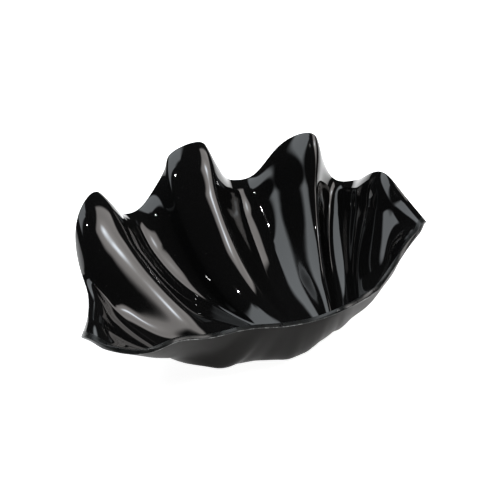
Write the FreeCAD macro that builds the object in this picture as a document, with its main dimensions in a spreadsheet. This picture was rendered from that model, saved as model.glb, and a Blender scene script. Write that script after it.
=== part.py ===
import FreeCAD, Part, Sketcher
import math
import os

# Clam-shell serving bowl: one thin moulding with four tall folds in its back
# wall, and four rubber bumpers stuck under its moulded feet.
#
# Millimetres. +Z is up, z = 0 is the table. +X points to the right tip and -Y
# to the hinge, the low smooth edge that a guest serves from. The origin lies on
# the table below the middle of the bowl.
#
# The moulding is a fan. Every rib line starts on the short hinge line at the
# front, crosses the floor and climbs the wall to the wavy rim. "u" counts the
# rib lines from the left tip (0) round the back to the right tip (1), and "v"
# runs along a rib line from the hinge line (0) to the wavy rim (1). So the rim
# is the four sides of the fan: hinge line, left edge, wavy rim, right edge.

doc = FreeCAD.newDocument("clam_bowl")
sheet = doc.addObject("Spreadsheet::Sheet", "Sizes")

# ---------------------------------------------------------------- dimensions
SIZES = [
    ("wall", 5.0, "thickness of the moulding"),
    ("floor_level", 9.0, "inside of the floor above the table, between the ribs"),
    ("front_steepness", 2.1, "power of the wall that rises to the hinge line"),
    ("left_steepness", 3.2, "power of the wall that rises to the left edge"),
    ("right_steepness", 2, "power of the wall that rises to the right edge"),
    ("left_wall_reach", 0.22, "share of the fan that the left wall takes"),
    ("right_wall_reach", 0.29, "share of the fan that the right wall takes"),
    ("rib_rise", 0.50, "share of a rib line in which the rib grows to full size"),
    ("lip_height", 3.0, "how far the sheet swells inward before it rolls out to the wavy rim"),
    ("lip_reach", 0.12, "share of a rib line that the rolled lip takes"),
    ("corner_reach", 0.04, "part of the fan at each hinge corner that takes its tilt from beside it"),
    ("tip_blend", 12.0, "length of rim over which the bead turns at a corner"),
    ("stub_radius", 7.0, "radius of a moulded foot at its flat end"),
    ("stub_draft", 0.08, "growth of that radius for each millimetre up, to leave the mould"),
    ("stub_bottom", 2.0, "flat end of the moulded feet above the table"),
    ("stub_reach", 40, "height in which every moulded foot has met the wall"),
    ("bumper_radius", 6.0, "radius of a rubber bumper"),
    ("bumper_height", 2.0, "thickness of a rubber bumper"),
    ("bumper_round", 0.8, "rounding of the bumper's lower edge"),
]

# The wavy rim, from the left tip round the back to the right tip:
# name, place u, x, y, z.
RIM = [
    ("left_tip", 0, -190.5, -53, 70.5),
    ("left_tip_back", 0.03, -179.5, -41, 77.5),
    ("left_notch", 0.065, -170, -21.5, 76),
    ("left_notch_back", 0.1, -161, 4, 76.5),
    ("left_wall", 0.14, -157, 33.5, 85.5),
    ("left_shoulder", 0.18, -153, 51.5, 109.5),
    ("first_peak_left", 0.215, -141.5, 64, 130.5),
    ("first_peak", 0.25, -117.5, 84, 136),
    ("first_peak_right", 0.29, -99.5, 89.5, 115.5),
    ("first_valley", 0.33, -80.5, 102, 90.5),
    ("first_valley_right", 0.365, -58.5, 110, 87),
    ("second_slope", 0.4, -35, 121, 101.5),
    ("second_shoulder", 0.43, -21.5, 124, 120),
    ("second_peak_left", 0.455, -12, 130.5, 130.5),
    ("second_peak", 0.49, 21, 132, 136.5),
    ("second_peak_right", 0.525, 36, 129, 120),
    ("second_valley_left", 0.555, 49, 124, 92),
    ("second_valley", 0.585, 66, 126, 80),
    ("second_valley_right", 0.615, 88, 123.5, 83.5),
    ("third_slope", 0.65, 117, 120, 113.5),
    ("third_peak", 0.69, 145.5, 97.5, 132.5),
    ("third_peak_right", 0.725, 158, 95.5, 107.5),
    ("third_valley_left", 0.76, 170.5, 86.5, 74),
    ("third_valley", 0.79, 181, 67, 78),
    ("fourth_slope", 0.83, 179, 43, 94),
    ("fourth_peak", 0.875, 181, 11, 117),
    ("right_shoulder", 0.92, 186.5, -18, 109),
    ("right_wall", 0.96, 189, -42, 99.5),
    ("right_tip", 1, 188.5, -66.5, 95),
]

# The hinge line at the front: name, place u, x, y, z.
HINGE = [
    ("hinge_left", 0, -55, -105.5, 68),
    ("hinge_second", 0.12, -36.5, -110, 67.5),
    ("hinge_third", 0.25, -12, -116, 65),
    ("hinge_middle", 0.5, 25.5, -125, 67),
    ("hinge_fifth", 0.75, 55, -129, 74),
    ("hinge_sixth", 0.88, 77, -118.5, 68.5),
    ("hinge_right", 1, 99, -111.5, 69.5),
]

# The two side edges, from the hinge line to the tips: name, place v, x, y, z.
LEFT_EDGE = [
    ("left_edge_start", 0, -55, -105.5, 68),
    ("left_edge_second", 0.19, -81.5, -100.5, 66.5),
    ("left_edge_third", 0.48, -120.5, -108, 80.5),
    ("left_edge_fourth", 0.76, -159, -105.5, 80),
    ("left_edge_fifth", 0.905, -183, -84.5, 81.5),
    ("left_edge_end", 1, -190.5, -53, 70.5),
]
RIGHT_EDGE = [
    ("right_edge_start", 0, 99, -111.5, 69.5),
    ("right_edge_second", 0.42, 131, -98.5, 87.5),
    ("right_edge_third", 0.8, 161, -80.5, 92),
    ("right_edge_end", 1, 188.5, -66.5, 95),
]

# The rib lines: name, place u, bend of the near third (x, y), bend of the far
# third (x, y, z), height of the inside over the floor, place v where the wall
# starts to rise, power of the rise, place v where the front wall ends.
RIBS = [
    ("rib_left_edge", 0, 0, 0, 0, 0, 0, 0, 0.4, 2.2, 0.23),
    ("left_slope", 0.04, 0, 9, 0, 2, -1, 7, 0.33, 2.4, 0.22),
    ("rib_small", 0.075, -4, 8, 4, 1, 1, 12, 0.31, 2.6, 0.23),
    ("small_fall", 0.115, -3, 0, 8, -3, 5, 6, 0.37, 2.8, 0.28),
    ("channel_left", 0.16, -3, -2, 7, -13, 9, 5, 0.41, 3.1, 0.26),
    ("first_flank", 0.205, -6, 6, -2, -5, 7, 8, 0.34, 2.8, 0.19),
    ("rib_first", 0.25, -2, 6, 0, -2, 0, 8, 0.27, 2, 0.16),
    ("first_fall", 0.3, -1, 6, 11, 2, 2, 7, 0.35, 2.5, 0.13),
    ("channel_first", 0.35, 4, 10, 4, 5, 2, 3, 0.44, 2.4, 0.09),
    ("second_flank", 0.42, 3, 11, -9, 2, 1, 0, 0.35, 2.1, 0.09),
    ("rib_second", 0.485, 1, 6, -9, -2, 3, 7, 0.27, 2.1, 0.11),
    ("second_fall", 0.535, -3, 1, 0, -3, 3, 7, 0.35, 2.5, 0.15),
    ("channel_second", 0.585, -1, 1, -2, 4, 3, 2, 0.4, 2.3, 0.19),
    ("third_flank", 0.64, 6, 0, -4, 18, 2, 8, 0.32, 2.6, 0.23),
    ("rib_third", 0.69, -1, -5, -5, 1, 3, 16, 0.29, 2.8, 0.29),
    ("third_fall", 0.74, 4, 2, -6, 4, 2, 6, 0.33, 2.3, 0.3),
    ("channel_third", 0.79, 3, 4, -4, 4, 2, 2, 0.38, 2.1, 0.34),
    ("fourth_flank", 0.835, 5, 3, -3, 0, 0, 5, 0.33, 2.3, 0.34),
    ("rib_fourth", 0.875, 8, 4, 0, -6, -3, 8, 0.29, 2.6, 0.35),
    ("fourth_fall", 0.91, 12, 7, 1, -2, -3, 4, 0.32, 2.5, 0.4),
    ("channel_right", 0.94, 14, 7, -1, 2, -2, 0, 0.38, 2.4, 0.44),
    ("rib_right_edge", 1, 0, 0, 0, 0, 0, 0, 0.38, 2.3, 0.4),
]
RIB_VALUES = ["near_x", "near_y", "far_x", "far_y", "far_z", "height", "start", "power", "front"]

# The moulded feet under the four channels: name, x, y.
FEET = [
    ("front_left", -58, -64),
    ("front_right", 100, -58),
    ("back_left", -31, 14),
    ("back_right", 57, 19),
]


def write_sizes():
    """Puts every driving dimension in the sheet, one named cell each."""
    rows = [(alias, value) for alias, value, _ in SIZES]
    for name, place, x, y, z in RIM + HINGE + LEFT_EDGE + RIGHT_EDGE:
        rows += [(name + "_place", place), (name + "_x", x), (name + "_y", y), (name + "_z", z)]
    for name, place, *values in RIBS:
        rows.append((name + "_place", place))
        rows += [(name + "_" + word, value) for word, value in zip(RIB_VALUES, values)]
    for name, x, y in FEET:
        rows += [("foot_" + name + "_x", x), ("foot_" + name + "_y", y)]
    for number, (alias, value) in enumerate(rows, start=1):
        sheet.set("A%d" % number, alias)
        sheet.set("B%d" % number, str(value))
        sheet.setAlias("B%d" % number, alias)
    doc.recompute()


def size(alias):
    """The value of one named cell of the sheet."""
    return float(getattr(sheet, alias))


# ------------------------------------------------------------ smooth curves
def natural_spline(places, values):
    """The natural cubic curve through values at places, as a function."""
    count = len(places)
    gaps = [places[i + 1] - places[i] for i in range(count - 1)]
    lower = [0.0] * count
    middle = [1.0] * count
    upper = [0.0] * count
    bend = [0.0] * count
    for i in range(1, count - 1):
        lower[i] = gaps[i - 1]
        middle[i] = 2 * (gaps[i - 1] + gaps[i])
        upper[i] = gaps[i]
        rise = (values[i + 1] - values[i]) / gaps[i] - (values[i] - values[i - 1]) / gaps[i - 1]
        bend[i] = 6 * rise
    for i in range(1, count):
        factor = lower[i] / middle[i - 1]
        middle[i] -= factor * upper[i - 1]
        bend[i] -= factor * bend[i - 1]
    bend[-1] /= middle[-1]
    for i in range(count - 2, -1, -1):
        bend[i] = (bend[i] - upper[i] * bend[i + 1]) / middle[i]

    def curve(place):
        k = 0
        while k < count - 2 and place > places[k + 1]:
            k += 1
        gap = gaps[k]
        a = (places[k + 1] - place) / gap
        b = (place - places[k]) / gap
        sag = ((a ** 3 - a) * bend[k] + (b ** 3 - b) * bend[k + 1]) * gap * gap / 6
        return a * values[k] + b * values[k + 1] + sag

    return curve


def space_curve(stations):
    """The curve in space through named stations, as a function of its place."""
    places = [size(station[0] + "_place") for station in stations]
    axes = []
    for axis in ("_x", "_y", "_z"):
        axes.append(natural_spline(places, [size(station[0] + axis) for station in stations]))
    return lambda place: FreeCAD.Vector(*[axis(place) for axis in axes])


def rib_curves():
    """How each rib value changes across the fan, as functions of u."""
    places = [size(rib[0] + "_place") for rib in RIBS]
    curves = {}
    for word in RIB_VALUES:
        curves[word] = natural_spline(places, [size(rib[0] + "_" + word) for rib in RIBS])
    return curves


# --------------------------------------------------------- inside of the bowl
def hump(t):
    """0 at both ends of a line, 1 at its first third, flat towards its far end."""
    return 27 / 4 * t * (1 - t) ** 2


def tilt(surface, u, v):
    """The unit normal of a surface given as a function, pointing up."""
    step = 0.001
    u_low, u_high = max(0.0, u - step), min(1.0, u + step)
    v_low, v_high = max(0.0, v - step), min(1.0, v + step)
    along_u = surface(u_high, v) - surface(u_low, v)
    along_v = surface(u, v_high) - surface(u, v_low)
    normal = along_u.cross(along_v)
    if normal.z < 0:
        normal = -normal
    return normal.normalize()


class Fan:
    """The inside of the bowl as a point for every u and v."""

    def __init__(self):
        self.rim = space_curve(RIM)
        self.hinge = space_curve(HINGE)
        self.left = space_curve(LEFT_EDGE)
        self.right = space_curve(RIGHT_EDGE)
        self.rib = rib_curves()
        self.floor = size("floor_level")

    def sheet_point(self, u, v):
        """The sheet stretched between the four sides, before it sinks to the floor."""
        along = self.hinge(u) * (1 - v) + self.rim(u) * v
        across = self.left(v) * (1 - u) + self.right(v) * u
        corners = (self.left(0) * (1 - u) + self.right(0) * u) * (1 - v)
        corners += (self.left(1) * (1 - u) + self.right(1) * u) * v
        return along + across - corners

    def wall_share(self, u, v):
        """1 on the rim, 0 on the floor: how far the walls lift this point."""
        start = self.rib["start"](u)
        back = max(0.0, (v - start) / (1 - start)) ** self.rib["power"](u)
        front = max(0.0, 1 - v / self.rib["front"](u)) ** size("front_steepness")
        left = max(0.0, 1 - u / size("left_wall_reach")) ** size("left_steepness")
        right = max(0.0, 1 - (1 - u) / size("right_wall_reach")) ** size("right_steepness")
        return 1 - (1 - back) * (1 - front) * (1 - left) * (1 - right)

    def plain_point(self, u, v):
        """A point of the inside, without the rolled lip."""
        spot = self.sheet_point(u, v)
        near = hump(v)
        far = hump(1 - v)
        spot.x += self.rib["near_x"](u) * near + self.rib["far_x"](u) * far
        spot.y += self.rib["near_y"](u) * near + self.rib["far_y"](u) * far
        grown = min(1.0, v / size("rib_rise"))
        floor = self.floor + self.rib["height"](u) * grown * grown * (3 - 2 * grown)
        spot.z = floor + (spot.z - floor) * self.wall_share(u, v) + self.rib["far_z"](u) * far
        return spot

    def point(self, u, v):
        """A point of the inside. Near the wavy rim the sheet swells inward, then
        rolls out to the rim."""
        spot = self.plain_point(u, v)
        from_rim = (1 - v) / size("lip_reach")
        if from_rim < 1:
            spot += tilt(self.plain_point, u, v) * (hump(from_rim) * size("lip_height"))
        return spot

    def normal(self, u, v):
        """The unit normal on the inside, pointing up out of the bowl.

        The rim runs smoothly through both hinge corners, so the fan has no tilt
        of its own there. Close to them the tilt is read a little further in."""
        from_left = max(0.0, size("corner_reach") - u - v) / 2
        from_right = max(0.0, size("corner_reach") - (1 - u) - v) / 2
        return tilt(self.point, u + from_left - from_right, v + from_left + from_right)


# ------------------------------------------------------- surfaces from curves
# The faces are cubics of this many poles across the fan and along its ribs.
DEGREE = 3
ACROSS_COUNT = 141
ALONG_COUNT = 71


def knot_list(count):
    """Clamped, evenly spaced knots from 0 to 1 for a cubic of count poles."""
    spans = count - DEGREE
    inner = [i / spans for i in range(1, spans)]
    return [0.0] * (DEGREE + 1) + inner + [1.0] * (DEGREE + 1)


def sites(count):
    """Where a cubic of count poles is sampled: the average of its knots."""
    knots = knot_list(count)
    return [sum(knots[i + 1:i + DEGREE + 1]) / DEGREE for i in range(count)]


def basis_row(knots, count, place):
    """The weights of all poles at one place."""
    row = [0.0] * (count + DEGREE)
    span = DEGREE
    while span < count - 1 and place >= knots[span + 1]:
        span += 1
    row[span] = 1.0
    for degree in range(1, DEGREE + 1):
        for i in range(span - degree, span + 1):
            left_gap = knots[i + degree] - knots[i]
            right_gap = knots[i + degree + 1] - knots[i + 1]
            value = 0.0
            if left_gap > 0:
                value += (place - knots[i]) / left_gap * row[i]
            if right_gap > 0:
                value += (knots[i + degree + 1] - place) / right_gap * row[i + 1]
            row[i] = value
    return row[:count]


def pole_solver(count):
    """Turns samples at sites(count) into the poles of the cubic through them."""
    knots = knot_list(count)
    matrix = [basis_row(knots, count, place) for place in sites(count)]
    steps = []
    for k in range(count):
        for i in range(k + 1, min(count, k + DEGREE + 1)):
            factor = matrix[i][k] / matrix[k][k]
            if factor:
                steps.append((i, k, factor))
                for j in range(k, min(count, k + 2 * DEGREE)):
                    matrix[i][j] -= factor * matrix[k][j]

    def solve(samples):
        poles = [FreeCAD.Vector(sample) for sample in samples]
        for i, k, factor in steps:
            poles[i] -= poles[k] * factor
        for i in range(count - 1, -1, -1):
            for j in range(i + 1, min(count, i + 2 * DEGREE)):
                poles[i] -= poles[j] * matrix[i][j]
            poles[i] *= 1 / matrix[i][i]
        return poles

    return solve


def knots_and_counts(count):
    """The separate knots of a clamped cubic, and how often each one counts."""
    spans = count - DEGREE
    knots = [i / spans for i in range(spans + 1)]
    counts = [DEGREE + 1] + [1] * (spans - 1) + [DEGREE + 1]
    return knots, counts


def smooth_face(samples):
    """The cubic face through a grid of samples taken at the sites."""
    rows, columns = len(samples), len(samples[0])
    solve_row = pole_solver(columns)
    solve_column = pole_solver(rows)
    half = [solve_row(row) for row in samples]
    turned = [solve_column([half[i][j] for i in range(rows)]) for j in range(columns)]
    poles = [[turned[j][i] for j in range(columns)] for i in range(rows)]
    u_knots, u_counts = knots_and_counts(rows)
    v_knots, v_counts = knots_and_counts(columns)
    surface = Part.BSplineSurface()
    surface.buildFromPolesMultsKnots(poles, u_counts, v_counts, u_knots, v_knots,
                                     False, False, DEGREE, DEGREE)
    return surface.toShape()


def bead_face(inner, outer, outward):
    """The half-round edge of the wall between two curves of samples."""
    solve = pole_solver(len(inner))
    rows = [[], [], [], [], []]
    for start, end, direction in zip(inner, outer, outward):
        middle = (start + end) * 0.5
        bulge = direction * (start.distanceToPoint(end) / 2)
        for row, spot in zip(rows, (start, start + bulge, middle + bulge, end + bulge, end)):
            row.append(spot)
    solved = [solve(row) for row in rows]
    poles = [[solved[j][i] for j in range(5)] for i in range(len(inner))]
    corner = math.sqrt(0.5)
    weights = [[1.0, corner, 1.0, corner, 1.0] for _ in inner]
    u_knots, u_counts = knots_and_counts(len(inner))
    surface = Part.BSplineSurface()
    surface.buildFromPolesMultsKnots(poles, u_counts, [3, 2, 3], u_knots, [0.0, 0.5, 1.0],
                                     False, False, DEGREE, 2, weights)
    return surface.toShape()


def outward_directions(inner, normals, middle):
    """The direction across the rim, out of the wall, at every sample of one side."""
    last = len(inner) - 1
    directions = []
    for i, spot in enumerate(inner):
        along = inner[min(last, i + 1)] - inner[max(0, i - 1)]
        across = along.cross(normals[i]).normalize()
        if across.dot(spot - middle) < 0:
            across = -across
        directions.append(across)
    return directions


def turn_to_corners(side, inner, start_direction, end_direction):
    """Swings one side's directions to the corners' own, near both ends."""
    blend = size("tip_blend")
    turned = []
    for spot, direction in zip(inner, side):
        for corner, corner_direction in ((inner[0], start_direction), (inner[-1], end_direction)):
            share = max(0.0, 1 - spot.distanceToPoint(corner) / blend)
            share = share * share * (3 - 2 * share)
            direction = direction * (1 - share) + corner_direction * share
        turned.append(FreeCAD.Vector(direction).normalize())
    return turned


def bowl_moulding():
    """The whole thin wall as one closed solid, without its feet."""
    fan = Fan()
    wall = size("wall")
    inner, outer, normals = [], [], []
    for u in sites(ACROSS_COUNT):
        inner.append([fan.point(u, v) for v in sites(ALONG_COUNT)])
        normals.append([fan.normal(u, v) for v in sites(ALONG_COUNT)])
        outer.append([p - n * wall for p, n in zip(inner[-1], normals[-1])])
    faces = [smooth_face(inner), smooth_face(outer)]

    middle = FreeCAD.Vector(0, 0, size("first_valley_z"))
    sides = []
    for pick in (lambda grid: grid[0], lambda grid: [row[-1] for row in grid],
                 lambda grid: grid[-1], lambda grid: [row[0] for row in grid]):
        side_inner, side_outer, side_normals = pick(inner), pick(outer), pick(normals)
        directions = outward_directions(side_inner, side_normals, middle)
        sides.append([side_inner, side_outer, directions])

    # The four corners in turn, with the two sides that meet there and their ends.
    corners = {}
    for name, first, first_end, second, second_end in (
            ("left_tip", 0, -1, 1, 0), ("right_tip", 1, -1, 2, -1),
            ("hinge_right", 2, 0, 3, -1), ("hinge_left", 3, 0, 0, 0)):
        total = sides[first][2][first_end] + sides[second][2][second_end]
        corners[name] = total.normalize()
    ends = (("hinge_left", "left_tip"), ("left_tip", "right_tip"),
            ("hinge_right", "right_tip"), ("hinge_left", "hinge_right"))
    for (side_inner, side_outer, directions), (start, end) in zip(sides, ends):
        directions = turn_to_corners(directions, side_inner, corners[start], corners[end])
        faces.append(bead_face(side_inner, side_outer, directions))

    shell = Part.makeShell(faces)
    shell.sewShape()
    solid = Part.makeSolid(shell)
    if solid.Volume < 0:
        solid.reverse()
    return solid


def moulded_foot(moulding, x, y):
    """A round foot that grows from its flat end until it meets the wall above it."""
    bottom = size("stub_bottom")
    height = size("stub_reach")
    radius = size("stub_radius")
    top_radius = radius + size("stub_draft") * height
    cone = Part.makeCone(radius, top_radius, height, FreeCAD.Vector(x, y, bottom))
    pieces = cone.cut(moulding).Solids
    return min(pieces, key=lambda piece: piece.BoundBox.ZMin)


def add_bowl():
    """The moulding with its four feet, as one piece of plastic."""
    shape = bowl_moulding()
    feet = []
    for name, _, _ in FEET:
        feet.append(moulded_foot(shape, size("foot_" + name + "_x"), size("foot_" + name + "_y")))
    shape = shape.fuse(feet)
    bowl = doc.addObject("Part::Feature", "bowl_shell")
    bowl.Label = "bowl_shell"
    bowl.Shape = shape.Solids[0] if len(shape.Solids) == 1 else shape
    bowl.Placement = FreeCAD.Placement()
    return bowl


# ------------------------------------------------------------ rubber bumpers
def origin_plane(body, role):
    """The body's own origin plane of that role."""
    for feature in body.Origin.OriginFeatures:
        if feature.Role == role:
            return feature
    raise ValueError("no plane " + role)


def add_bumper(name):
    """A round rubber bumper stuck under one moulded foot, rounded where it stands."""
    label = "foot_bumper_" + name
    body = doc.addObject("PartDesign::Body", label)
    body.Label = label
    sketch = body.newObject("Sketcher::SketchObject", label + "_outline")
    sketch.AttachmentSupport = (origin_plane(body, "XY_Plane"), "")
    sketch.MapMode = "FlatFace"
    sketch.addGeometry(Part.Circle(FreeCAD.Vector(0, 0, 0), FreeCAD.Vector(0, 0, 1),
                                   size("bumper_radius")))
    sketch.addConstraint(Sketcher.Constraint("Coincident", 0, 3, -1, 1))
    radius = sketch.addConstraint(Sketcher.Constraint("Radius", 0, size("bumper_radius")))
    sketch.setExpression("Constraints[%d]" % radius, "Sizes.bumper_radius")
    pad = body.newObject("PartDesign::Pad", label + "_pad")
    pad.Profile = sketch
    pad.setExpression("Length", "Sizes.bumper_height")
    doc.recompute()
    lower_edge = min(enumerate(pad.Shape.Edges, start=1), key=lambda item: item[1].BoundBox.ZMax)
    fillet = body.newObject("PartDesign::Fillet", label + "_round")
    fillet.Base = (pad, ["Edge%d" % lower_edge[0]])
    fillet.setExpression("Radius", "Sizes.bumper_round")
    body.Tip = fillet
    body.setExpression("Placement.Base.x", "Sizes.foot_%s_x" % name)
    body.setExpression("Placement.Base.y", "Sizes.foot_%s_y" % name)
    return body


def check_document(parts):
    """Stops if any object failed, or a part's shape is missing or not valid."""
    doc.recompute()
    for item in doc.Objects:
        if "Invalid" in item.State or "Error" in item.State:
            raise RuntimeError("%s failed: %s" % (item.Name, item.State))
    for part in parts:
        if part.Shape.isNull() or not part.Shape.isValid():
            raise RuntimeError("%s has no valid shape" % part.Label)


write_sizes()
parts = [add_bowl()]
for foot_name, _, _ in FEET:
    parts.append(add_bumper(foot_name))
check_document(parts)

os.makedirs("parts", exist_ok=True)
for part in parts:
    part.Shape.exportStep("parts/" + part.Label + ".step")
    box = part.Shape.BoundBox
    print("%s: %d solid(s), %.1f x %.1f x %.1f mm, %.1f cm3" % (
        part.Label, len(part.Shape.Solids), box.XLength, box.YLength, box.ZLength,
        part.Shape.Volume / 1000))
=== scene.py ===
"""Clam-shell serving bowl, black and glossy, on a white table under studio lamps."""
import math

import bpy
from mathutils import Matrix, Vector
from mathutils.bvhtree import BVHTree


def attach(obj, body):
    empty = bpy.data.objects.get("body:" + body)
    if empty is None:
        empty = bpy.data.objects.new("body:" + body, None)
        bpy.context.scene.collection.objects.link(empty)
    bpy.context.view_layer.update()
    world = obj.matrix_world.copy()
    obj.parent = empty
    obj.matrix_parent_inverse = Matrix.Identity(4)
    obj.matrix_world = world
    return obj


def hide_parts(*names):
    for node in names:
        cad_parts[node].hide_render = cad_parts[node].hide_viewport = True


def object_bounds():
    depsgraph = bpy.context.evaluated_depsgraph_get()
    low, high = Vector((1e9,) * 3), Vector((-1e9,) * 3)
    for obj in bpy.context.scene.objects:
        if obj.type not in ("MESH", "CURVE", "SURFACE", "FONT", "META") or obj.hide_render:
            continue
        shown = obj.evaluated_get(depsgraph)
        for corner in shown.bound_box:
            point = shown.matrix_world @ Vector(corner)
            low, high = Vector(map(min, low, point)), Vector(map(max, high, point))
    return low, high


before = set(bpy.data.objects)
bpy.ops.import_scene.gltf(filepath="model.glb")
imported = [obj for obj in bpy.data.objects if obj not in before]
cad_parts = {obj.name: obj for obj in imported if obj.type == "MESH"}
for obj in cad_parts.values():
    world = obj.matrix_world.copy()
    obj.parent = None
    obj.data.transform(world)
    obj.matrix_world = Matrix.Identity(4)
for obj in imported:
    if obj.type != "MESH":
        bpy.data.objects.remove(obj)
cad_low, cad_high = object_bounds()

MM = 0.001

# ------------------------------------------------------------ shape of the bowl
# The bowl is a fan of rib lines. "u" counts them from the left tip (0) round the
# back to the right tip (1). "v" runs along one from the hinge line at the front
# (0) over the floor to the wavy rim (1). Millimetres, as in the CAD model.

WALL = 5.0
FLOOR_LEVEL = 9.0
FRONT_STEEPNESS = 2.1
LEFT_STEEPNESS = 3.2
RIGHT_STEEPNESS = 2
LEFT_WALL_REACH = 0.22
RIGHT_WALL_REACH = 0.29
RIB_RISE = 0.50
CORNER_REACH = 0.04
LIP_HEIGHT = 3.0
LIP_REACH = 0.12

# The wavy rim, from the left tip round the back to the right tip: u, x, y, z.
RIM = [
    (0, -190.5, -53, 70.5),
    (0.03, -179.5, -41, 77.5),
    (0.065, -170, -21.5, 76),
    (0.1, -161, 4, 76.5),
    (0.14, -157, 33.5, 85.5),
    (0.18, -153, 51.5, 109.5),
    (0.215, -141.5, 64, 130.5),
    (0.25, -117.5, 84, 136),
    (0.29, -99.5, 89.5, 115.5),
    (0.33, -80.5, 102, 90.5),
    (0.365, -58.5, 110, 87),
    (0.4, -35, 121, 101.5),
    (0.43, -21.5, 124, 120),
    (0.455, -12, 130.5, 130.5),
    (0.49, 21, 132, 136.5),
    (0.525, 36, 129, 120),
    (0.555, 49, 124, 92),
    (0.585, 66, 126, 80),
    (0.615, 88, 123.5, 83.5),
    (0.65, 117, 120, 113.5),
    (0.69, 145.5, 97.5, 132.5),
    (0.725, 158, 95.5, 107.5),
    (0.76, 170.5, 86.5, 74),
    (0.79, 181, 67, 78),
    (0.83, 179, 43, 94),
    (0.875, 181, 11, 117),
    (0.92, 186.5, -18, 109),
    (0.96, 189, -42, 99.5),
    (1, 188.5, -66.5, 95),
]

# The hinge line at the front: u, x, y, z.
HINGE = [
    (0, -55, -105.5, 68),
    (0.12, -36.5, -110, 67.5),
    (0.25, -12, -116, 65),
    (0.5, 25.5, -125, 67),
    (0.75, 55, -129, 74),
    (0.88, 77, -118.5, 68.5),
    (1, 99, -111.5, 69.5),
]

# The two side edges, from the hinge line to the tips: v, x, y, z.
LEFT_EDGE = [
    (0, -55, -105.5, 68),
    (0.19, -81.5, -100.5, 66.5),
    (0.48, -120.5, -108, 80.5),
    (0.76, -159, -105.5, 80),
    (0.905, -183, -84.5, 81.5),
    (1, -190.5, -53, 70.5),
]
RIGHT_EDGE = [
    (0, 99, -111.5, 69.5),
    (0.42, 131, -98.5, 87.5),
    (0.8, 161, -80.5, 92),
    (1, 188.5, -66.5, 95),
]

# The rib lines: u, bend of the near third (x, y), bend of the far third
# (x, y, z), height of the inside over the floor, v where the wall starts to
# rise, power of the rise, v where the front wall ends.
RIBS = [
    (0, 0, 0, 0, 0, 0, 0, 0.4, 2.2, 0.23),
    (0.04, 0, 9, 0, 2, -1, 7, 0.33, 2.4, 0.22),
    (0.075, -4, 8, 4, 1, 1, 12, 0.31, 2.6, 0.23),
    (0.115, -3, 0, 8, -3, 5, 6, 0.37, 2.8, 0.28),
    (0.16, -3, -2, 7, -13, 9, 5, 0.41, 3.1, 0.26),
    (0.205, -6, 6, -2, -5, 7, 8, 0.34, 2.8, 0.19),
    (0.25, -2, 6, 0, -2, 0, 8, 0.27, 2, 0.16),
    (0.3, -1, 6, 11, 2, 2, 7, 0.35, 2.5, 0.13),
    (0.35, 4, 10, 4, 5, 2, 3, 0.44, 2.4, 0.09),
    (0.42, 3, 11, -9, 2, 1, 0, 0.35, 2.1, 0.09),
    (0.485, 1, 6, -9, -2, 3, 7, 0.27, 2.1, 0.11),
    (0.535, -3, 1, 0, -3, 3, 7, 0.35, 2.5, 0.15),
    (0.585, -1, 1, -2, 4, 3, 2, 0.4, 2.3, 0.19),
    (0.64, 6, 0, -4, 18, 2, 8, 0.32, 2.6, 0.23),
    (0.69, -1, -5, -5, 1, 3, 16, 0.29, 2.8, 0.29),
    (0.74, 4, 2, -6, 4, 2, 6, 0.33, 2.3, 0.3),
    (0.79, 3, 4, -4, 4, 2, 2, 0.38, 2.1, 0.34),
    (0.835, 5, 3, -3, 0, 0, 5, 0.33, 2.3, 0.34),
    (0.875, 8, 4, 0, -6, -3, 8, 0.29, 2.6, 0.35),
    (0.91, 12, 7, 1, -2, -3, 4, 0.32, 2.5, 0.4),
    (0.94, 14, 7, -1, 2, -2, 0, 0.38, 2.4, 0.44),
    (1, 0, 0, 0, 0, 0, 0, 0.38, 2.3, 0.4),
]

# The moulded feet: x, y. A foot is a stub that widens upward and ends in the wall.
FEET = [(-58, -64), (100, -58), (-31, 14), (57, 19)]
STUB_RADIUS = 7.0
STUB_TOP_RADIUS = 7.8
STUB_BOTTOM = 2.0
STUB_DEPTH_IN_WALL = WALL / 3
STUB_SIDES = 40

# A ray that finds the wall over a foot starts at this level, below the bowl.
RAY_START = -5.0

# The rounding of a foot's lower edge: how far in from its side, how far up.
STUB_ROUNDING = [(0.6, 0.0), (0.15, 0.18), (0.0, 0.6)]

# How finely the bowl is divided: along u, along v, round its rim.
U_STEPS = 300
V_STEPS = 145
BEAD_STEPS = 12

# The edge stands out from the wall by its bulge, in a curve that is a half
# ellipse at power 1 and squarer below it.
BEAD_BULGE = 1.2
BEAD_POWER = 0.5

# The inside has a flat trimmed band of this many divisions beside its smooth
# sides, and over these steps of the bead the outer corner of the edge is pale:
# partly wear, partly a painted highlight line.
BAND_STEPS = 3
PAINTED_HIGHLIGHT_WEAR_STEPS = (10, 11)

# The bowl's materials, in the order of its slots. The last is the edge's outer
# corner, pale from wear and from a painted highlight.
GLOSS, EDGE, SATIN, PAINTED_HIGHLIGHT_WEAR = range(4)

# ---------------------------------------------------------- stage and the camera
# Metres and degrees. An azimuth is 0 behind the bowl and 90 to its right.

# The table reaches this far from the bowl and lies just below its bumpers.
TABLE_HALF_WIDTH = 10.0
TABLE_GAP = 0.0002

# The point that panels and lamps face, the panels' divisions, and the colours of
# the panels and the room.
MIDDLE = Vector((0.0245, 0.0155, 0.06))
PANEL_ACROSS = 24
PANEL_UPWARD = 16
WARM = (1.0, 0.955, 0.93)
COOL = (0.90, 0.96, 1.0)
CORE = (0.80, 0.90, 1.0)
ROOM = (0.02, 0.02, 0.02)

# The camera, with its lens and sensor in millimetres.
CAMERA_TARGET = Vector((0.0245, 0.0155, 0.062))
CAMERA_AZIMUTH = 208
CAMERA_ELEVATION = 33
CAMERA_DISTANCE = 1.242
CAMERA_LENS = 84.96
CAMERA_SENSOR = 36.0


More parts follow.
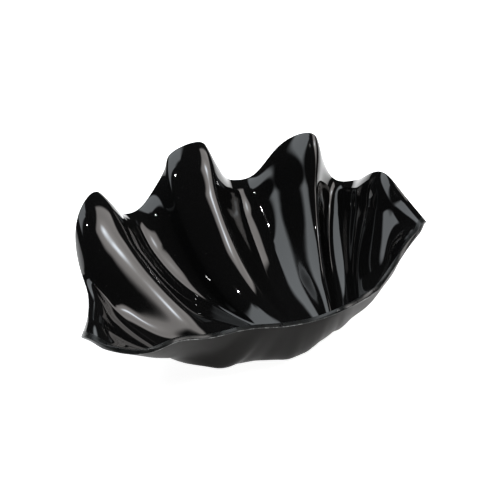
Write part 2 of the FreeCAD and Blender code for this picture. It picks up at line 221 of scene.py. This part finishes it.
def natural_spline(places, values):
    """The natural cubic curve through values at places, as a function."""
    count = len(places)
    gaps = [places[i + 1] - places[i] for i in range(count - 1)]
    middle = [1.0] * count
    upper = [0.0] * count
    bend = [0.0] * count
    for i in range(1, count - 1):
        rise = (values[i + 1] - values[i]) / gaps[i] - (values[i] - values[i - 1]) / gaps[i - 1]
        factor = gaps[i - 1] / middle[i - 1]
        middle[i] = 2 * (gaps[i - 1] + gaps[i]) - factor * upper[i - 1]
        upper[i] = gaps[i]
        bend[i] = 6 * rise - factor * bend[i - 1]
    bend[-1] = 0.0
    for i in range(count - 2, -1, -1):
        bend[i] = (bend[i] - upper[i] * bend[i + 1]) / middle[i]

    def curve(place):
        k = 0
        while k < count - 2 and place > places[k + 1]:
            k += 1
        gap = gaps[k]
        a = (places[k + 1] - place) / gap
        b = (place - places[k]) / gap
        sag = ((a ** 3 - a) * bend[k] + (b ** 3 - b) * bend[k + 1]) * gap * gap / 6
        return a * values[k] + b * values[k + 1] + sag

    return curve


def station_curves(stations):
    """One curve for each column after the first, which holds the places."""
    places = [station[0] for station in stations]
    columns = range(1, len(stations[0]))
    return [natural_spline(places, [station[k] for station in stations]) for k in columns]


def sample(curves, steps):
    """All curves at evenly spaced places from 0 to 1."""
    return [[curve(i / steps) for curve in curves] for i in range(steps + 1)]


def hump(t):
    """0 at both ends of a line, 1 at its first third, flat towards its far end."""
    return 27 / 4 * t * (1 - t) ** 2


def roll_lip(grid):
    """Near the wavy rim the sheet swells inward, then rolls out to the rim."""
    normals = grid_normals(grid)
    for row, normal_row in zip(grid, normals):
        for j in range(V_STEPS + 1):
            from_rim = (1 - j / V_STEPS) / LIP_REACH
            if from_rim < 1:
                row[j] += normal_row[j] * (hump(from_rim) * LIP_HEIGHT)


def inside_grid():
    """The inside of the bowl as a grid of points, one row for each u."""
    rim = [Vector(p) for p in sample(station_curves(RIM), U_STEPS)]
    hinge = [Vector(p) for p in sample(station_curves(HINGE), U_STEPS)]
    left = [Vector(p) for p in sample(station_curves(LEFT_EDGE), V_STEPS)]
    right = [Vector(p) for p in sample(station_curves(RIGHT_EDGE), V_STEPS)]
    ribs = sample(station_curves(RIBS), U_STEPS)
    grid = []
    for i in range(U_STEPS + 1):
        u = i / U_STEPS
        near_x, near_y, far_x, far_y, far_z, height, start, power, front_end = ribs[i]
        left_wall = max(0.0, 1 - u / LEFT_WALL_REACH) ** LEFT_STEEPNESS
        right_wall = max(0.0, 1 - (1 - u) / RIGHT_WALL_REACH) ** RIGHT_STEEPNESS
        low_corner = left[0] * (1 - u) + right[0] * u
        high_corner = left[-1] * (1 - u) + right[-1] * u
        row = []
        for j in range(V_STEPS + 1):
            v = j / V_STEPS
            spot = hinge[i] * (1 - v) + rim[i] * v + left[j] * (1 - u) + right[j] * u
            spot -= low_corner * (1 - v) + high_corner * v
            near, far = hump(v), hump(1 - v)
            spot.x += near_x * near + far_x * far
            spot.y += near_y * near + far_y * far
            back_wall = max(0.0, (v - start) / (1 - start)) ** power
            front_wall = max(0.0, 1 - v / front_end) ** FRONT_STEEPNESS
            flat = (1 - back_wall) * (1 - front_wall) * (1 - left_wall) * (1 - right_wall)
            grown = min(1.0, v / RIB_RISE)
            floor = FLOOR_LEVEL + height * grown * grown * (3 - 2 * grown)
            spot.z = spot.z + (floor - spot.z) * flat + far_z * far
            row.append(spot)
        grid.append(row)
    roll_lip(grid)
    return grid


def grid_normals(grid):
    """The unit normals of the inside, pointing up out of the bowl."""
    normals = []
    for i in range(U_STEPS + 1):
        row = []
        for j in range(V_STEPS + 1):
            short = max(0.0, CORNER_REACH - i / U_STEPS - j / V_STEPS) / 2
            short_right = max(0.0, CORNER_REACH - 1 + i / U_STEPS - j / V_STEPS) / 2
            a = i + round((short - short_right) * U_STEPS)
            b = j + round((short + short_right) * V_STEPS)
            along_u = grid[min(U_STEPS, a + 1)][b] - grid[max(0, a - 1)][b]
            along_v = grid[a][min(V_STEPS, b + 1)] - grid[a][max(0, b - 1)]
            normal = along_u.cross(along_v)
            if normal.z < 0:
                normal.negate()
            row.append(normal.normalized())
        normals.append(row)
    return normals


def border():
    """The grid places round the rim in order, once round."""
    ring = [(i, V_STEPS) for i in range(U_STEPS)]
    ring += [(U_STEPS, j) for j in range(V_STEPS, 0, -1)]
    ring += [(i, 0) for i in range(U_STEPS, 0, -1)]
    ring += [(0, j) for j in range(V_STEPS)]
    return ring


def mesh_object(name, points, faces, materials, face_materials):
    """A smooth mesh object from points in millimetres."""
    mesh = bpy.data.meshes.new(name)
    mesh.from_pydata([point * MM for point in points], [], faces)
    for material in materials:
        mesh.materials.append(material)
    for polygon, index in zip(mesh.polygons, face_materials):
        polygon.use_smooth = True
        polygon.material_index = index
    mesh.update()
    piece = bpy.data.objects.new(name, mesh)
    bpy.context.scene.collection.objects.link(piece)
    return piece


def wall_mesh():
    """The whole wall: inside, outside and the rounded edge between them."""
    inside = inside_grid()
    normals = grid_normals(inside)
    outside = []
    for row, normal_row in zip(inside, normals):
        outside.append([spot - normal * WALL for spot, normal in zip(row, normal_row)])
    points = [spot for row in inside for spot in row]
    points += [spot for row in outside for spot in row]
    outside_start = (U_STEPS + 1) * (V_STEPS + 1)

    def number(i, j, start):
        return start + i * (V_STEPS + 1) + j

    faces, face_materials = [], []
    for i in range(U_STEPS):
        for j in range(V_STEPS):
            square = ((i, j), (i + 1, j), (i + 1, j + 1), (i, j + 1))
            faces.append([number(a, b, 0) for a, b in square])
            faces.append([number(a, b, outside_start) for a, b in reversed(square)])
            on_band = j < BAND_STEPS or i < BAND_STEPS or i >= U_STEPS - BAND_STEPS
            face_materials += [EDGE if on_band else GLOSS, SATIN]

    # The edge: a rounded strip across the wall, out of the rim.
    ring = border()
    count = len(ring)
    edge_lines = []
    for k, (i, j) in enumerate(ring):
        start, end = inside[i][j], outside[i][j]
        before, after = ring[k - 1], ring[(k + 1) % count]
        along = inside[after[0]][after[1]] - inside[before[0]][before[1]]
        outward = normals[i][j].cross(along).normalized()
        line = [number(i, j, 0)]
        for step in range(1, BEAD_STEPS):
            turn = math.pi * step / BEAD_STEPS
            share = (1 - math.cos(turn)) / 2
            bulge = math.sin(turn) ** BEAD_POWER * BEAD_BULGE
            line.append(len(points))
            points.append(start.lerp(end, share) + outward * bulge)
        line.append(number(i, j, outside_start))
        edge_lines.append(line)
    for k in range(count):
        here, there = edge_lines[k], edge_lines[(k + 1) % count]
        for step in range(BEAD_STEPS):
            faces.append([here[step], there[step], there[step + 1], here[step + 1]])
            # The outer corner steps take the pale corner finish: wear and a painted highlight
            # line.
            face_materials.append(PAINTED_HIGHLIGHT_WEAR if step in PAINTED_HIGHLIGHT_WEAR_STEPS else EDGE)
    return points, faces, face_materials


def add_foot(points, faces, face_materials, outside_tree, x, y):
    """A moulded foot: a short tapered closed stub that runs up into the wall above it."""
    turns = [2 * math.pi * k / STUB_SIDES for k in range(STUB_SIDES)]
    rings = []
    for inset, rise in STUB_ROUNDING:
        radius = STUB_RADIUS - inset
        level = STUB_BOTTOM + rise
        rings.append([Vector((x + radius * math.cos(turn), y + radius * math.sin(turn), level))
                      for turn in turns])
    top_ring = []
    for turn in turns:
        top_x = x + STUB_TOP_RADIUS * math.cos(turn)
        top_y = y + STUB_TOP_RADIUS * math.sin(turn)
        wall = outside_tree.ray_cast(Vector((top_x, top_y, RAY_START)), Vector((0, 0, 1)))[0]
        top_ring.append(Vector((top_x, top_y, wall.z + STUB_DEPTH_IN_WALL)))
    rings.append(top_ring)

    first = len(points)
    for ring in rings:
        points.extend(ring)
    for level in range(len(rings) - 1):
        low = first + level * STUB_SIDES
        high = low + STUB_SIDES
        for k in range(STUB_SIDES):
            n = (k + 1) % STUB_SIDES
            faces.append([low + k, low + n, high + n, high + k])
            face_materials.append(SATIN)
    last = len(points) - STUB_SIDES
    faces.append([first + k for k in reversed(range(STUB_SIDES))])
    faces.append([last + k for k in range(STUB_SIDES)])
    face_materials += [SATIN, SATIN]


# ------------------------------------------------------------------- materials
class Paint:
    """A node material, with helpers that feed its shader from noise."""

    def __init__(self, name):
        self.material = bpy.data.materials.new(name)
        self.material.use_nodes = True
        self.tree = self.material.node_tree
        self.shader = self.tree.nodes["Principled BSDF"]
        self.place = self.tree.nodes.new("ShaderNodeTexCoord")

    def set(self, socket, value):
        """A constant on one of the shader's own sockets."""
        self.shader.inputs[socket].default_value = value

    def noise(self, scale, detail, roughness=0.5):
        """Noise through the object: its scale is in waves for each metre."""
        node = self.tree.nodes.new("ShaderNodeTexNoise")
        node.inputs["Scale"].default_value = scale
        node.inputs["Detail"].default_value = detail
        node.inputs["Roughness"].default_value = roughness
        self.tree.links.new(self.place.outputs["Object"], node.inputs["Vector"])
        return node.outputs["Fac"]

    def ramp(self, noise, socket, low, high, low_colour, high_colour):
        """Feeds a socket with low_colour to high_colour as the noise goes from low to high."""
        node = self.tree.nodes.new("ShaderNodeValToRGB")
        first, last = node.color_ramp.elements
        first.position, last.position = low, high
        first.color, last.color = (*low_colour, 1), (*high_colour, 1)
        self.tree.links.new(noise, node.inputs["Fac"])
        self.tree.links.new(node.outputs["Color"], self.shader.inputs[socket])
        return node.outputs["Color"]

    def bump(self, noise, strength, depth):
        """Relief that follows the noise."""
        node = self.tree.nodes.new("ShaderNodeBump")
        node.inputs["Strength"].default_value = strength
        node.inputs["Distance"].default_value = depth
        self.tree.links.new(noise, node.inputs["Height"])
        self.tree.links.new(node.outputs["Normal"], self.shader.inputs["Normal"])


def grey(level):
    """A grey colour."""
    return (level, level, level)


def gloss_material():
    """Mirror-gloss black plastic: faint moulding ripple, fine dust and smears."""
    paint = Paint("gloss_black")
    paint.set("IOR", 1.5)
    dust = paint.noise(scale=900.0, detail=2.0)
    paint.ramp(dust, "Base Color", 0.74, 0.80, (0.0035, 0.0035, 0.0036), grey(0.05))
    smear = paint.noise(scale=22.0, detail=5.0, roughness=0.6)
    paint.ramp(smear, "Roughness", 0.35, 0.75, grey(0.025), grey(0.075))
    ripple = paint.noise(scale=55.0, detail=1.0)
    paint.bump(ripple, strength=0.05, depth=0.001)
    return paint.material


def edge_material():
    """The trimmed edge of the moulding: smooth dark satin with faint drag marks."""
    paint = Paint("trimmed_edge")
    paint.set("Specular IOR Level", 0.4)
    marks = paint.noise(scale=160.0, detail=3.0)
    paint.ramp(marks, "Base Color", 0.40, 0.75, (0.0055, 0.0062, 0.0062), (0.012, 0.013, 0.0125))
    paint.ramp(marks, "Roughness", 0.3, 0.8, grey(0.26), grey(0.36))
    paint.bump(marks, strength=0.06, depth=0.0004)
    return paint.material


def painted_highlight_wear_material():
    """The outer corner of the edge: pale in short broken marks, partly scuffed wear and partly a
    painted highlight line.
    """
    paint = Paint("painted_highlight_wear_corner")
    highlight_wear_mask = paint.noise(scale=150.0, detail=4.0, roughness=0.7)
    # Pale base colour on the corner: part wear, part a painted highlight line.
    paint.ramp(highlight_wear_mask, "Base Color", 0.46, 0.62, grey(0.012), (0.22, 0.225, 0.22))
    paint.set("Roughness", 0.3)
    return paint.material


def satin_material():
    """The unpolished outside: satin brown-black with flow marks and a fine grain."""
    paint = Paint("satin_black")
    paint.set("Specular IOR Level", 0.08)
    cloud = paint.noise(scale=14.0, detail=6.0, roughness=0.65)
    paint.ramp(cloud, "Base Color", 0.35, 0.70, (0.0030, 0.0026, 0.0022), (0.0058, 0.0052, 0.0045))
    paint.ramp(cloud, "Roughness", 0.3, 0.7, grey(0.34), grey(0.46))
    grain = paint.noise(scale=1500.0, detail=2.0)
    paint.bump(grain, strength=0.12, depth=0.0002)
    return paint.material


def rubber_material():
    """Matt black rubber with a fine grain and a little grey wear."""
    paint = Paint("bumper_rubber")
    wear = paint.noise(scale=260.0, detail=4.0)
    paint.ramp(wear, "Base Color", 0.4, 0.8, grey(0.018), (0.06, 0.058, 0.055))
    paint.set("Roughness", 0.8)
    paint.bump(wear, strength=0.4, depth=0.0003)
    return paint.material


def table_material():
    """The white light table: matt, lit from inside, very slightly uneven."""
    paint = Paint("white_table")
    cloud = paint.noise(scale=6.0, detail=3.0)
    colour = paint.ramp(cloud, "Base Color", 0.3, 0.7, grey(0.93), grey(0.96))
    paint.tree.links.new(colour, paint.shader.inputs["Emission Color"])
    paint.set("Emission Strength", 1.0)
    paint.set("Roughness", 0.9)
    paint.set("Specular IOR Level", 0.1)
    return paint.material


# ----------------------------------------------------------------- build it all
def build_bowl():
    """The bowl as one mesh that stands for the CAD moulding."""
    materials = [gloss_material(), edge_material(), satin_material(), painted_highlight_wear_material()]
    points, faces, face_materials = wall_mesh()
    outside_faces = [face for face, index in zip(faces, face_materials) if index == SATIN]
    outside_tree = BVHTree.FromPolygons(points, outside_faces)
    for x, y in FEET:
        add_foot(points, faces, face_materials, outside_tree, x, y)
    bowl = mesh_object("bowl", points, faces, materials, face_materials)
    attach(bowl, "root")
    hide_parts("bowl_shell")


def finish_bumpers():
    """The rubber bumpers stay as the CAD made them, with a rubber finish."""
    rubber = rubber_material()
    for name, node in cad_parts.items():
        if name.startswith("foot_bumper"):
            node.data.materials.clear()
            node.data.materials.append(rubber)


def add_table():
    """A wide white surface under the bowl."""
    half = TABLE_HALF_WIDTH
    corners = [(-half, -half, 0), (half, -half, 0), (half, half, 0), (-half, half, 0)]
    mesh = bpy.data.meshes.new("table")
    mesh.from_pydata(corners, [], [(0, 1, 2, 3)])
    mesh.materials.append(table_material())
    table = bpy.data.objects.new("table", mesh)
    bpy.context.scene.collection.objects.link(table)
    table.location.z = cad_low[2] - TABLE_GAP


def direction(azimuth, elevation):
    """The unit vector from the bowl towards an azimuth and an elevation."""
    turn, rise = math.radians(azimuth), math.radians(elevation)
    level = math.cos(rise)
    return Vector((math.sin(turn) * level, math.cos(turn) * level, math.sin(rise)))


def aim(thing, place, target):
    """Puts a light or camera at place, looking at target."""
    thing.location = place
    thing.rotation_euler = (Vector(target) - Vector(place)).to_track_quat("-Z", "Y").to_euler()


def panel_material(name, colour, radiance, soft_edge):
    """A studio panel's glow: even, with soft edges, added to what lies behind it."""
    material = bpy.data.materials.new(name)
    material.use_nodes = True
    tree = material.node_tree
    link = tree.links.new
    tree.nodes.remove(tree.nodes["Principled BSDF"])
    output = tree.nodes["Material Output"]
    place = tree.nodes.new("ShaderNodeUVMap")
    split = tree.nodes.new("ShaderNodeSeparateXYZ")
    link(place.outputs["UV"], split.inputs["Vector"])

    def smooth(source, low, high, bottom, top):
        node = tree.nodes.new("ShaderNodeMapRange")
        node.interpolation_type = "SMOOTHSTEP"
        node.inputs["From Min"].default_value = low
        node.inputs["From Max"].default_value = high
        node.inputs["To Min"].default_value = bottom
        node.inputs["To Max"].default_value = top
        link(source, node.inputs["Value"])
        return node.outputs["Result"]

    def multiply(first, second):
        node = tree.nodes.new("ShaderNodeMath")
        node.operation = "MULTIPLY"
        link(first, node.inputs[0])
        link(second, node.inputs[1])
        return node.outputs["Value"]

    glow = None
    for axis in ("X", "Y"):
        along = split.outputs[axis]
        up = smooth(along, 0.0, soft_edge, 0.0, 1.0)
        down = smooth(along, 1 - soft_edge, 1.0, 1.0, 0.0)
        both = multiply(up, down)
        glow = both if glow is None else multiply(glow, both)
    emission = tree.nodes.new("ShaderNodeEmission")
    emission.inputs["Color"].default_value = (*colour, 1)
    scale = tree.nodes.new("ShaderNodeValue")
    scale.outputs["Value"].default_value = radiance
    link(multiply(glow, scale.outputs["Value"]), emission.inputs["Strength"])
    clear = tree.nodes.new("ShaderNodeBsdfTransparent")
    total = tree.nodes.new("ShaderNodeAddShader")
    link(emission.outputs["Emission"], total.inputs[0])
    link(clear.outputs["BSDF"], total.inputs[1])
    link(total.outputs["Shader"], output.inputs["Surface"])
    return material


def add_panel(name, azimuths, elevations, distance, radiance, colour, soft_edge):
    """A curved studio panel round the bowl, between two azimuths and two elevations.

    It shows only by its light and in the bowl's gloss: it throws no shadow and the
    camera looks through it.
    """
    across, upward = PANEL_ACROSS, PANEL_UPWARD
    points, faces = [], []
    for i in range(across + 1):
        azimuth = azimuths[0] + (azimuths[1] - azimuths[0]) * i / across
        for j in range(upward + 1):
            elevation = elevations[0] + (elevations[1] - elevations[0]) * j / upward
            points.append(MIDDLE + direction(azimuth, elevation) * distance)
    for i in range(across):
        for j in range(upward):
            first = i * (upward + 1) + j
            faces.append((first, first + 1, first + upward + 2, first + upward + 1))
    mesh = bpy.data.meshes.new(name)
    mesh.from_pydata(points, [], faces)
    layer = mesh.uv_layers.new(name="panel")
    for loop in mesh.loops:
        i, j = divmod(loop.vertex_index, upward + 1)
        layer.data[loop.index].uv = (i / across, j / upward)
    mesh.materials.append(panel_material(name, colour, radiance, soft_edge))
    panel = bpy.data.objects.new(name, mesh)
    bpy.context.scene.collection.objects.link(panel)
    panel.visible_camera = False
    panel.visible_shadow = False


def add_lamp(name, azimuth, elevation, distance, size, radiance, in_gloss):
    """A round lamp that faces the bowl, placed by its direction from the bowl."""
    light = bpy.data.lights.new(name, "AREA")
    light.shape = "DISK"
    light.size = size
    disk_area = math.pi * size * size / 4
    light.energy = radiance * math.pi * disk_area
    lamp = bpy.data.objects.new(name, light)
    bpy.context.scene.collection.objects.link(lamp)
    aim(lamp, MIDDLE + direction(azimuth, elevation) * distance, MIDDLE)
    lamp.visible_glossy = in_gloss


def add_lights():
    """A warm panel on the right with a hot core, a cool one high on the left and back."""
    # Name, azimuths, elevations, distance, radiance, colour, share that each soft edge takes.
    add_panel("warm_panel", (70, 131), (21, 59), 1.60, 3.5, WARM, 0.13)
    add_panel("warm_glow", (92, 127), (26, 57), 1.58, 2.0, WARM, 0.48)
    add_panel("core", (104, 117), (35, 50), 1.56, 14.0, CORE, 0.49)
    add_panel("cool_panel", (-96, 16), (35, 88), 1.60, 2.8, COOL, 0.12)

    # Name, azimuth, elevation, distance, width, radiance, whether the gloss shows it.
    add_lamp("table_lamp", 0, 90, 2.4, 3.0, 1.0, False)
    add_lamp("small_lamp", -150, 77, 1.6, 0.03, 900.0, True)


def add_world():
    """A dim grey room."""
    world = bpy.data.worlds.new("studio")
    world.use_nodes = True
    background = world.node_tree.nodes["Background"]
    background.inputs["Color"].default_value = (*ROOM, 1)
    background.inputs["Strength"].default_value = 1.0
    bpy.context.scene.world = world


def add_camera():
    """A long lens from the front left, looking down into the bowl."""
    camera = bpy.data.cameras.new("camera")
    camera.lens = CAMERA_LENS
    camera.sensor_width = CAMERA_SENSOR
    holder = bpy.data.objects.new("camera", camera)
    bpy.context.scene.collection.objects.link(holder)
    back = direction(CAMERA_AZIMUTH, CAMERA_ELEVATION)
    aim(holder, CAMERA_TARGET + back * CAMERA_DISTANCE, CAMERA_TARGET)
    bpy.context.scene.camera = holder


build_bowl()
finish_bumpers()
add_table()
add_lights()
add_world()
add_camera()
bpy.context.scene.view_settings.view_transform = "Standard"

bpy.context.view_layer.update()
